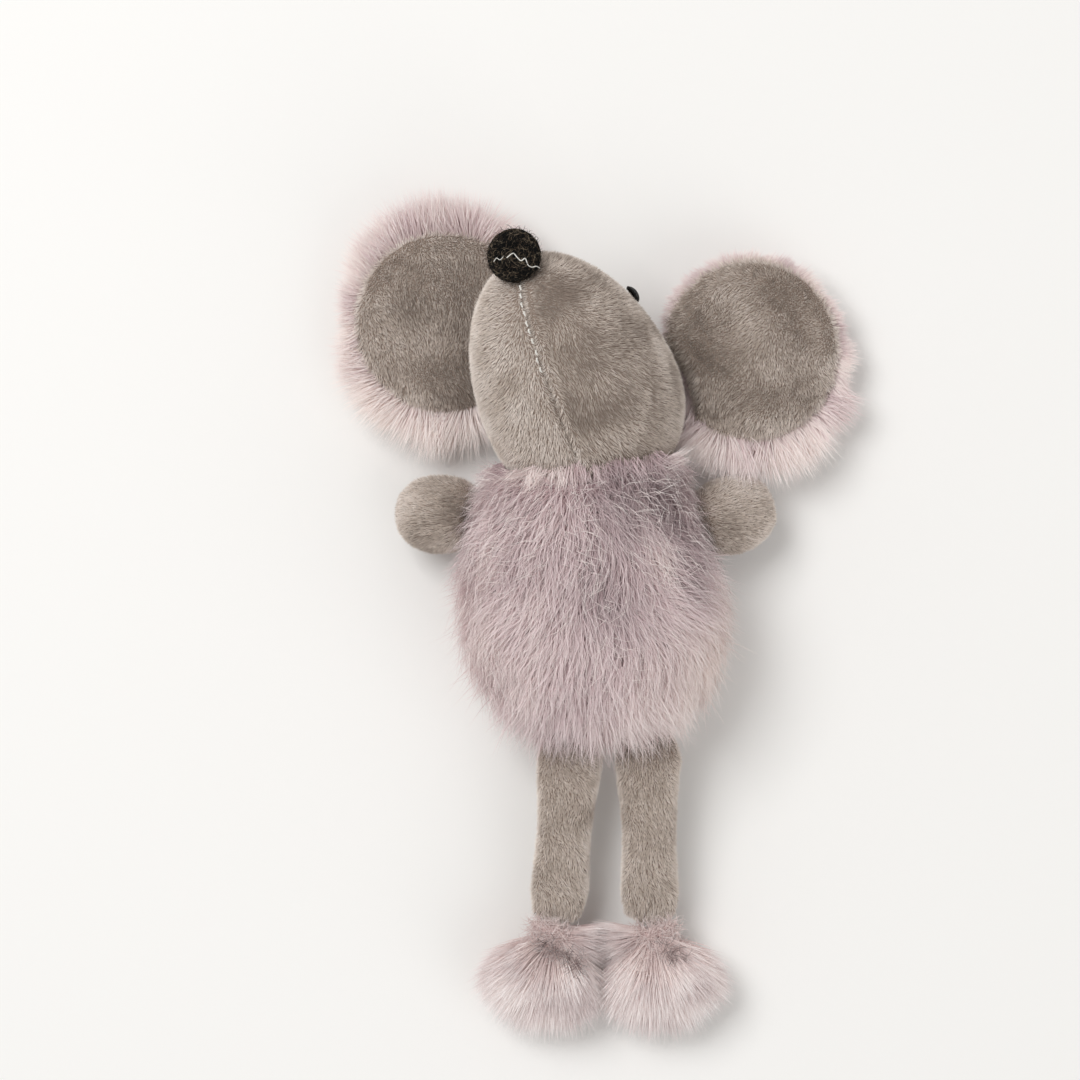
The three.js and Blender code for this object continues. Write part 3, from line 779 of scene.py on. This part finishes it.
for side, sign in (("left", -1), ("right", 1)):
    draw = np.random.default_rng(31 + sign)
    hinge, outward = sewn_at(f"{side}_ear_fold")
    ear_middle = np.array(hinge + outward * EAR_RADIUS)
    front_form = joined_nodes("ear_front", [f"{side}_ear_front"])
    front_form = stuffed(front_form, EAR_GRAIN, EAR_INSET, EAR_SWELL, evenness=4)
    points = points_of(front_form)
    off_middle = np.linalg.norm((points - ear_middle)[:, :2], axis=1) / EAR_RADIUS
    waves = np.maximum(drift(points * (1, 1, 0), EAR_WAVE, 25 + sign), -1)
    puff = EAR_PUFF * np.clip(1 - off_middle ** 4, 0, 1) * (1 + 0.6 * waves)
    if sign > 0:
        from_start = points[:, :2] - CREASE_START
        along = from_start @ CREASE_WAY
        aside = from_start @ np.array((CREASE_WAY[1], -CREASE_WAY[0]))
        fade = np.clip(1 - along / CREASE_LENGTH, 0, 1) * (along > -3 * MM)
        puff *= 1 - 0.8 * np.exp(-((aside / CREASE_WIDTH) ** 2)) * fade
    front_way = np.clip(facing_of(front_form)[:, 2:], 0, 1) * (0, 0, 1)
    move_points(front_form, points + front_way * puff[:, None])
    roots, facing = scatter(
        front_form, EAR_TUFTS, draw, lambda points, ways: np.where(ways[:, 2] > -0.35, 1.0, 0.1)
    )
    from_middle = (roots - ear_middle) / EAR_RADIUS
    if sign < 0:
        ways = np.array((0.55, -1.0, 0.0)) - np.outer(np.clip(from_middle[:, 0] + 0.3, 0, 1), (0.9, 0, 0))
    else:
        ways = np.array((-0.75, -0.65, 0.0)) + from_middle * (0, 0.5, 0)
    rim = np.clip(1 - facing[:, 2] / 0.75, 0, 1)
    ways = unit(ways) * (1 - rim)[:, None] + unit(from_middle * (1, 1, 0)) * rim[:, None]
    # Painted light: the pile is painted paler toward the ear's edge and on its turned rim, where the rounded
    # rim catches the light.
    painted_edge_light = np.clip(np.linalg.norm(from_middle[:, :2], axis=1), 0, 1) ** 3
    # Painted shadow: the pile of each ear is painted darker near the head, where the head's shadow falls on
    # it.
    painted_head_shadow = np.exp(-np.maximum(head_gap(roots)[0], 0) / EAR_SHADE)
    tone = 0.68 + 0.03 * sign + 0.16 * painted_edge_light + 0.08 * rim - 1.2 * painted_head_shadow
    for right, up, wide, paler in STROKES_AND_SHADE[side]:
        off_patch = np.linalg.norm((roots - ear_middle)[:, :2] - np.array((right, up)) * MM, axis=1)
        tone += paler * np.exp(-((off_patch / (wide * MM)) ** 2))
    trim = 1 + 0.7 * rim
    pile = plush_pile(roots, facing, ways, draw, 7 + sign, tone, 0.2, trim=trim, patch=0.08, bunch=4)
    front = pelt(f"{side}_ear_plush", front_form, [pile], short_plush)
    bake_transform(front)
    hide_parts(f"{side}_ear_front")

    back_form = joined_nodes("ear_back", [f"{side}_ear_back"])
    back_form = stuffed(back_form, EAR_GRAIN, EAR_BACK_INSET, EAR_BACK_SWELL, evenness=4)
    points = points_of(back_form)
    flat = (points - ear_middle) * (1, 1, 0)
    out = np.linalg.norm(flat, axis=1, keepdims=True)
    drawn_in = np.where(out > EAR_RIM, EAR_RIM + (out - EAR_RIM) * 0.5, out)
    move_points(back_form, points + unit(flat) * (drawn_in - out))

    def behind(points, facing):
        out = np.linalg.norm((points - ear_middle)[:, :2], axis=1) / EAR_RADIUS
        by_head = (points - np.array(hinge)) @ np.array(outward) < 2 * MM
        return np.where(((facing[:, 2] < 0.3) | (out > 0.84)) & ~by_head, 0.3 + 2.5 * out ** 6, 0.0)

    coats = []
    for number, stand in ((EAR_HAIRS, [0.25, 0.0]), (EAR_DOWN, [0.12])):
        roots, facing = scatter(back_form, number, draw, behind)
        from_middle = (roots - ear_middle) * (1, 1, 0)
        out = np.linalg.norm(from_middle, axis=1)
        rise = from_middle[:, 1] / out
        ways = from_middle / EAR_RADIUS + np.array(FRINGE_LIE[side])
        aside, top, bottom = FRINGE[side]
        fringe = aside + top * np.maximum(rise, 0) + bottom * np.maximum(-rise, 0)
        if sign > 0:
            around = np.arctan2(from_middle[:, 1], from_middle[:, 0])
            fringe += 0.9 * np.cos(12.4 * around) * np.maximum(np.cos(around), 0)
        lead = locks(roots, ways, FRINGE_LOCK, draw)
        stroke = draw.normal(0, 0.2, number)[lead] + 0.35 * drift(roots, 9 * MM, 17 + sign)
        stroke += draw.normal(0, 0.16, number)
        upward = np.tile((0.0, 0.0, 1.0), (number, 1))
        lie = unit(combed(ways, upward, stroke) + upward * draw.uniform(0.05, 0.4, (number, 1)))
        reach = np.clip(EAR_RADIUS + fringe * MM - out, FRINGE_SHORTEST, FRINGE_LONGEST)
        length = reach * draw.uniform(0.7, 1.1, number) * draw.uniform(0.8, 1.15, number)[lead]
        paths = gathered(grown(roots, facing, lie, length, stand), lead, 0.2)
        # Painted light: the fringe is painted paler toward the bottom of each ear, where it lies lit below
        # the ear.
        tone = (
            0.65 - 0.03 * sign + (0.28 - 0.08 * sign) * np.maximum(-rise, 0)
            + 0.14 * drift(roots, 8 * MM, 19 + sign)
            + draw.normal(0, 0.06, number)[lead]
            + draw.normal(0, 0.12, number)
        )
        coats.append(coat(paths, upward, FUR_WIDTH, tone, corners=FLAT_SIDED))
    back = pelt(f"{side}_ear_fur", back_form, coats, long_fur)
    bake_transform(back)
    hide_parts(f"{side}_ear_back")

# Body: a pear of long-pile cloth in a front and a back panel, stuffed with fibre round a sachet of catnip.
# The fur is combed down from the neck and fans out over the tummy. The head is sewn into the neck.
BODY_GRAIN = 1.2 * MM
BODY_INSET = 1.0 * MM
BODY_SWELL = 0.6 * MM
FRONT_HAIRS = 9600
BACK_HAIRS = 4700
DOWN_SHARE = 2.2
NECK_HAIRS = 2000
NECK_TUCK = 6 * MM
NECK_LOW = 13 * MM
NECK_TOP = 24.8 * MM
HEAD_ROOM = 1.2 * MM
CHEEK_TUFT = np.array((11.5, 22.5)) * MM
CHEEK_TUFT_WIDTH = 3 * MM
TUFT_HAIRS = 260
GUARD_HAIRS = 2000
GUARD_WIDTH = 0.8 * FUR_WIDTH
LOCK_FIBRES = 12
CHEST_LEVEL = 24 * MM
HEM_LEVEL = -10 * MM
NECK_FUR = 6.0 * MM
CHEST_FUR = 3.4 * MM
HEM_FUR = 1.6 * MM
FAN_TOP = np.array((-2.0, 40.0, 0.0)) * MM
body_middle = Vector((0, 0, joints["left_leg_swing"]["pos_m"][2]))
body_nodes = [
    "body_front_panel", "body_back_panel", "body_stuffing_front", "body_stuffing_back", "catnip_sachet",
]
body_form = joined_nodes("body_form", body_nodes)
body_form = stuffed(body_form, BODY_GRAIN, BODY_INSET, BODY_SWELL, seam=(body_middle, (0, 0, 1)))
points = points_of(body_form)
gaps, places, ways = head_gap(points)
tuck = np.clip(NECK_TUCK - gaps, 0, NECK_TUCK) * 0.5
move_points(body_form, points - ways * tuck[:, None])


def clear_of_head(paths):
    """Fibres bent aside where they would run into the head."""
    flat = paths.reshape(-1, 3).copy()
    gaps, places, ways = head_gap(flat)
    low = gaps < HEAD_ROOM
    flat[low] = places[low] + ways[low] * HEAD_ROOM
    return flat.reshape(paths.shape)


def body_lie(roots, facing, stroke):
    """The way the body's fur is combed: down and outward from above the neck."""
    fan = unit((roots - FAN_TOP) * (1, 1, 0)) + np.array((0, -0.15, 0)) + roots * (22, 0, 0)
    return combed(fan, facing, stroke)


def body_tone(roots, draw):
    """Lilac grey, streaked darker high on the right and paler low on both sides. The dark streaks are partly
    the fur's own tone and partly painted shade in the clefts between its locks.
    """
    down = np.clip((CHEST_LEVEL - roots[:, 1]) / (30 * MM), 0, 1)
    across = roots[:, 0] / (20 * MM)
    high_right = (1 - down) * np.clip(across + 0.3, 0, 1)
    patch = 0.6 * down * np.clip(0.75 * across + 0.25, 0, 1) + (0.03 + 0.34 * down) * np.clip(-across, 0, 1)
    # Partly painted shade: darker streaks high on the right, for the clefts between locks.
    patch -= high_right * (0.6 + 0.6 * drift(roots * (1, 0.2, 0), 5 * MM, 46))
    return 0.31 + patch + 0.1 * drift(roots, 13 * MM, 45) + draw.normal(0, 0.06, len(roots))


for side, sign, count in (("front", 1, FRONT_HAIRS), ("back", -1, BACK_HAIRS)):
    draw = np.random.default_rng(41 + sign)
    panel = half(body_form, body_middle, (0, 0, sign))

    def outside(points, facing):
        in_seam = (np.abs(points[:, 2] - body_middle.z) < SEAM_SLIT) & (facing[:, 2] * sign < -0.9)
        to_head = unit(np.array(head_middle) - points)
        in_neck = (head_gap(points)[0] < 2 * MM) & ((facing * to_head).sum(1) > 0.5)
        return np.where(in_seam | in_neck, 0.0, 1.0)

    def neckline(points, facing):
        top = NECK_TOP + 0.1 * points[:, 0] + 0.5 * MM * drift(points, 5 * MM, 47)
        level = (points[:, 1] > NECK_LOW) & (points[:, 1] < top)
        fewer = np.clip((points[:, 1] - 12 * MM) / (10 * MM), 0.3, 1)
        return np.where(level & ((points[:, 2] - body_middle.z) * sign > 0), fewer, 0.0)

    def by_cheek(points, facing):
        far = np.linalg.norm(points[:, :2] - CHEEK_TUFT, axis=1)
        return np.where((far < CHEEK_TUFT_WIDTH) & (points[:, 2] > body_middle.z), 1.0, 0.0)

    coats = []
    # Each layer of fur: where it grows and how densely, how upright it stands and in how many bends.
    layers = (
        (panel, outside, count, 0.38, 2), (panel, outside, int(count * DOWN_SHARE), 0.3, 1),
        (head_form, neckline, NECK_HAIRS, 0.7, 2), (head_form, neckline, NECK_HAIRS, 0.7, 1),
    )
    for form, chance, number, rise, bends in layers:
        roots, facing = scatter(form, number, draw, chance)
        lead = locks(roots, body_lie(roots, facing, 0.0), LOCK_FIBRES, draw)
        stroke = draw.normal(0, 0.08, number)[lead] + 0.4 * drift(roots, 16 * MM, 43 + sign)
        if form is head_form:
            stroke += draw.normal(0, 0.45, number)[lead]
        lie = body_lie(roots, facing, stroke + draw.normal(0, 0.28, number))
        down = np.clip((CHEST_LEVEL - roots[:, 1]) / (18 * MM), 0, 1)
        hang = np.clip((HEM_LEVEL - roots[:, 1]) / (8 * MM), 0, 1)
        upright = np.clip(rise + draw.normal(0, 0.12, number), 0.1, 0.85)
        length = NECK_FUR + CHEST_FUR * down + HEM_FUR * hang
        if bends == 2:
            length *= draw.uniform(0.6, 1.12, number)
            paths = grown(roots, facing, lie, length, [upright, upright * (0.15 + 0.7 * hang)])
        else:
            length *= draw.uniform(0.5, 1.05, number)
            paths = grown(roots, facing, lie, length, [upright])
        tangle = draw.normal(0, 0.4 * MM, (number, 3)) + draw.normal(0, 0.5 * MM, (number, 3))[lead]
        paths += tangle[:, None] * np.linspace(0, 1, bends + 1)[:, None]
        paths = clear_of_head(paths)
        at_neck = 0.45 if form is head_form else 0
        tone = body_tone(roots, draw) + draw.normal(0, 0.06, number)[lead] + at_neck
        coats.append(coat(paths, facing, FUR_WIDTH, tone, corners=FLAT_SIDED))

    # Guard hairs are given a white tone: partly their own paleness and partly painted highlights for the
    # glints of the shiny fibres.
    roots, facing = scatter(panel, GUARD_HAIRS, draw, outside)
    lead = locks(roots, body_lie(roots, facing, 0.0), LOCK_FIBRES, draw)
    stroke = draw.normal(0, 0.7, GUARD_HAIRS)[lead] + draw.normal(0, 0.3, GUARD_HAIRS)
    length = draw.uniform(4.5, 7.5, GUARD_HAIRS) * MM
    upright = draw.uniform(0.5, 0.8, GUARD_HAIRS)
    paths = grown(roots, facing, body_lie(roots, facing, stroke), length, [upright, 0.3 * upright])
    coats.append(coat(clear_of_head(paths), facing, GUARD_WIDTH, np.full(GUARD_HAIRS, 1.0)))
    if sign > 0:
        roots, facing = scatter(head_form, TUFT_HAIRS, draw, by_cheek)
        lie = combed(np.tile((0.8, 0.55, 0.1), (TUFT_HAIRS, 1)), facing, draw.normal(0, 0.3, TUFT_HAIRS))
        length = draw.uniform(3.5, 6.5, TUFT_HAIRS) * MM
        paths = clear_of_head(grown(roots, facing, lie, length, [0.6, 0.3]))
        coats.append(coat(paths, facing, FUR_WIDTH, draw.uniform(0.55, 0.95, TUFT_HAIRS)))
    piece = pelt(f"body_{side}_fur", panel, coats, long_fur)
    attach(piece, "torso")
    inside = ["catnip_sachet"] if sign > 0 else []
    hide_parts(f"body_{side}_panel", f"body_stuffing_{side}", *inside)
bpy.data.objects.remove(head_form)
bpy.data.objects.remove(body_form)

# Arms: short paddles of the same plush, sewn from a front and a back, lightly stuffed
# and let into the side seams of the body.
ARM_TUFTS = 12000
ARM_SWELL = 0.4 * MM
LIMB_GRAIN = 0.9 * MM
LIMB_INSET = 0.5 * MM
ARM_SHADE = 6 * MM
for side, sign in (("left", -1), ("right", 1)):
    draw = np.random.default_rng(51 + sign)
    hinge, outward = sewn_at(f"{side}_arm_swing")
    nodes = [f"{side}_arm_front", f"{side}_arm_back", f"{side}_arm_stuffing"]
    form = stuffed(joined_nodes("arm_form", nodes), LIMB_GRAIN, LIMB_INSET, ARM_SWELL)
    roots, facing = scatter(form, ARM_TUFTS, draw)
    ways = np.tile(np.array(outward) + np.array((0, -0.5, 0)), (ARM_TUFTS, 1))
    painted_body_shade = np.exp(-np.maximum((roots - np.array(hinge)) @ np.array(outward), 0) / ARM_SHADE)
    # Painted light: each arm is painted darker near the body, where the body's shade falls, and the right arm
    # a little lighter than the left to offset the shadow on it.
    pile = plush_pile(roots, facing, ways, draw, 53 + sign, 0.63 + 0.04 * sign - 0.25 * painted_body_shade)
    piece = pelt(f"{side}_arm_plush", form, [pile], short_plush)
    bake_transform(piece)
    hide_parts(*nodes)

# Legs: two flat layers of plush sewn into a limp strip, with no filling,
# and let into the bottom seam of the body.
LEG_TUFTS = 17500
LEG_SWELL = 0.3 * MM
for side, sign in (("left", -1), ("right", 1)):
    draw = np.random.default_rng(61 + sign)
    hinge = Vector(joints[f"{side}_leg_swing"]["pos_m"])
    outward = Vector((0, -1, 0))
    nodes = [f"{side}_leg_front", f"{side}_leg_back"]
    form = stuffed(joined_nodes("leg_form", nodes), LIMB_GRAIN, LIMB_INSET, LEG_SWELL)
    roots, facing = scatter(form, LEG_TUFTS, draw)
    ways = np.tile(np.array(outward), (LEG_TUFTS, 1))
    ways = ways + np.outer(0.4 * drift(roots, 12 * MM, 65 + sign) + 0.45, (1, 0, 0))
    pile = plush_pile(roots, facing, ways, draw, 63 + sign, 0.61, patch=0.06, bunch=8)
    piece = pelt(f"{side}_leg_plush", form, [pile], short_plush)
    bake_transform(piece)
    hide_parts(*nodes)

# Feet: a strip of the long-pile cloth rolled round each ankle and stitched, so that its fur
# fans out past the end of the leg. The dark backing of the strip shows at the ankle, with painted
# shade in the gap between the leg's end and the roll.
FOOT_HAIRS = 10000
FOOT_DOWN = 5000
TUCKED_DOWN = 3500
CUFF_CURLS = 700
FOOT_CURLS = 1300
DARK_CURLS = {"left": 130, "right": 45}
OUTER_SPREAD = math.radians(47)
INNER_SPREAD = math.radians(60)
FOOT_REACH = 17.4 * MM
FOOT_LOCK = 9
FOOT_CORE = (3.0, 3.0, 3.4)
EDGE_SHADE_HEIGHT = 6.8
BAND_OFFSET = 1.0 * MM
BAND_RADIUS = 3.0 * MM
BAND_THICKNESS = 1.0 * MM
CURL_STEP = 1.1 * MM
# Foot fur is the same pile teased out, so that it is paler and its tips are nearly white.
foot_fur = pile_finish(
    "pale_foot_fur",
    tones=((0, "#4a4443"), (1, "#fffdfc"), (0.1, "#dccccb"), (0.5, "#fbf1ef")),
    painted_root_shade=((0, "#dccfcd"), (1, "#ffffff"), (0.45, "#f5efed")),
    tips=("#ffffff", 0.4),
    roughness=0.65,
    sheen=0.2,
)
# Where the dark edge of the strip shows, with painted shade in the gap beside it: millimetres to the right of
# the ankle and above it.
LEFT_EDGE_SHADE = ((-3.1, -1.8), (0.0, -2.9), (2.9, -5.1), (3.6, -6.9))
RIGHT_EDGE_SHADE = ((1.6, -2.4), (3.5, -3.6), (5.8, -5.4))
for side, sign, edge in (("left", -1, LEFT_EDGE_SHADE), ("right", 1, RIGHT_EDGE_SHADE)):
    draw = np.random.default_rng(71 + sign)
    ankle = Vector(joints[f"{side}_foot_flop"]["pos_m"])
    toward = middle_of(f"{side}_foot_fur") - ankle
    fan = math.atan2(toward.y, toward.x)
    outward = Vector((math.cos(fan), math.sin(fan), 0))
    band_middle = ankle + outward * BAND_OFFSET
    bpy.ops.object.select_all(action="DESELECT")
    bpy.ops.mesh.primitive_torus_add(
        location=band_middle, rotation=(math.pi / 2, 0, fan + math.pi / 2),
        major_radius=BAND_RADIUS, minor_radius=BAND_THICKNESS, major_segments=40, minor_segments=14,
    )
    band = newest()
    bpy.ops.object.transform_apply(location=True, rotation=True, scale=True)
    start = np.array(band_middle)
    coats = []
    for number, bends, tucked in ((FOOT_HAIRS, 2, False), (FOOT_DOWN, 1, False), (TUCKED_DOWN, 1, True)):
        share = draw.uniform(-1, 1, number)
        if tucked:
            turn = -sign * (INNER_SPREAD + draw.uniform(-0.2, 1.0, number))
            length = draw.uniform(4.0, 10.0, number) * MM
        else:
            turn = sign * share * np.where(share > 0, OUTER_SPREAD, INNER_SPREAD)
            turn += draw.normal(0, 0.08, number)
            edge_share = np.clip((np.abs(share) - 0.7) / 0.3, 0, 1)
            length = FOOT_REACH * (1 - 0.14 * share ** 2 - 0.25 * edge_share ** 2)
            length *= draw.uniform(0.5 if bends == 1 else 0.8, 1.04, number)
        rise = np.arcsin(draw.uniform(-0.62, 0.9, number))
        level = np.cos(rise)
        facing = np.stack([level * np.cos(fan + turn), level * np.sin(fan + turn), np.sin(rise)], 1)
        length *= 1 - 0.3 * np.maximum(facing[:, 2], 0)
        roots = start + facing * FOOT_CORE * MM * draw.uniform(0.4, 1.1, (number, 1))
        lead = locks(facing * 10 * MM, facing * (0, 0, 1), FOOT_LOCK, draw)
        flat = unit(facing * (1, 1, 0))
        if bends == 2:
            middle = roots + facing * (length * 0.4)[:, None]
            bent = unit(flat + np.array((0, 0, -0.14)) + facing * 0.3) * length[:, None]
            middle, tips = middle + bent * 0.25, middle + bent * 0.6
            paths = np.stack([roots, middle, tips], 1)
        else:
            tips = roots + unit(flat * 0.6 + facing * 0.7 + np.array((0, 0, -0.08))) * length[:, None]
            paths = np.stack([roots, tips], 1)
        paths += draw.normal(0, 0.25, paths.shape) * MM
        paths = gathered(paths, lead, 0.08)
        tone = (
            0.33 + 0.03 * sign - 0.16 * tucked + 0.22 * drift(roots + facing * 8 * MM, 7 * MM, 73 + sign)
            + draw.normal(0, 0.1, number)[lead]
            + draw.normal(0, 0.12, number)
        )
        up = unit(np.array((0, 0, 1.0)) - facing * facing[:, 2:] + np.array((0, 0, 0.3)))
        coats.append(coat(paths, up, FUR_WIDTH, np.maximum(tone, 0.12), 0.2, FLAT_SIDED))
        if bends == 2:
            on_top = draw.choice(np.flatnonzero(facing[:, 2] > 0.4), FOOT_CURLS)
            share = draw.uniform(0, 1, (FOOT_CURLS, 1)) ** 1.3
            curl_roots = paths[on_top, 0] * (1 - share) + paths[on_top, 1] * share

    cuff_roots, _ = scatter(band, CUFF_CURLS, draw, lambda points, ways: np.clip(ways[:, 2] + 0.3, 0, 1))
    dark_curls = DARK_CURLS[side]
    along = draw.uniform(0, len(edge) - 1, dark_curls)
    across, up = (np.interp(along, range(len(edge)), line) for line in zip(*edge))
    edge_shade_roots = np.array(ankle) + np.stack([across, up, np.full(dark_curls, EDGE_SHADE_HEIGHT)], 1) * MM
    edge_shade_roots += draw.normal(0, 0.5, (dark_curls, 3)) * MM
    curls = [np.concatenate([curl_roots, cuff_roots, edge_shade_roots])]
    number = FOOT_CURLS + CUFF_CURLS + dark_curls
    facing = np.tile((0.0, 0.0, 1.0), (number, 1))
    way = combed(draw.normal(size=(number, 3)) + np.array(outward) * 0.6, facing)
    bend = draw.normal(0, 0.9, number)
    for step in range(3):
        way = combed(way, facing, bend)
        curls.append(curls[-1] + (way + facing * draw.uniform(-0.05, 0.5, (number, 1))) * CURL_STEP)
    tone = draw.uniform(0.12, 0.5, number)
    # The dark curls stand for the dark edge of the strip and for painted shade in the gap between the leg's
    # end and the roll.
    tone[-dark_curls:] = draw.uniform(0.02, 0.09, dark_curls)
    coats.append(coat(np.stack(curls, 1), facing, 0.8 * FUR_WIDTH, tone))
    piece = pelt(f"{side}_foot_fur_fan", band, coats, foot_fur, cloth_tone=0.12)
    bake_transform(piece)
    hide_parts(f"{side}_foot_fur")

# Studio: a plain pale floor of matt paper, one broad soft lamp from the upper left, a weaker one
# from the lower right, and an even pale surround. The camera looks straight down.
bpy.ops.object.select_all(action="DESELECT")
bpy.ops.mesh.primitive_plane_add(size=6)
floor = newest()
floor.name = "floor"
paper = bpy.data.materials.new("pale_floor")
paper.use_nodes = True
# Matt paper spreads light evenly, so that only soft shadows show on it.
surface = paper.node_tree.nodes["Principled BSDF"]
surface.inputs["Base Color"].default_value = linear("#f4f3f1")
surface.inputs["Roughness"].default_value = 0.9
surface.inputs["Specular IOR Level"].default_value = 0.1
floor.data.materials.append(paper)

world = bpy.data.worlds.new("studio")
bpy.context.scene.world = world
world.use_nodes = True
surround = world.node_tree.nodes["Background"]
surround.inputs["Color"].default_value = linear("#f6f5f3")
surround.inputs["Strength"].default_value = 0.55

# Each lamp: its name, place, width in metres and power in watts.
LAMPS = (("key", (-0.38, 0.33, 0.88), 0.5, 5.6), ("fill", (0.6, -0.5, 0.7), 0.8, 1.8))
for name, place, size, power in LAMPS:
    lamp = bpy.data.lights.new(name, "AREA")
    lamp.size = size
    lamp.energy = power
    holder = added(name, lamp)
    holder.location = place
    holder.rotation_euler = (Vector((0, 0, 0.01)) - Vector(place)).to_track_quat("-Z", "Y").to_euler()

CAMERA_HEIGHT = 0.7
CAMERA_PLACE = (-9.59 * MM, 10.66 * MM, CAMERA_HEIGHT)
FRAME_WIDTH = 0.1918
SENSOR_WIDTH = 36
lens = bpy.data.cameras.new("camera")
lens.sensor_width = SENSOR_WIDTH
lens.lens = SENSOR_WIDTH * CAMERA_HEIGHT / FRAME_WIDTH
camera = added("camera", lens)
camera.location = CAMERA_PLACE
bpy.context.scene.camera = camera
bpy.context.scene.view_settings.view_transform = "Standard"
# Light passes from fibre to fibre many times before it leaves pale fur, so it is followed that far.
bpy.context.scene.cycles.diffuse_bounces = 12
bpy.context.scene.cycles.max_bounces = 14
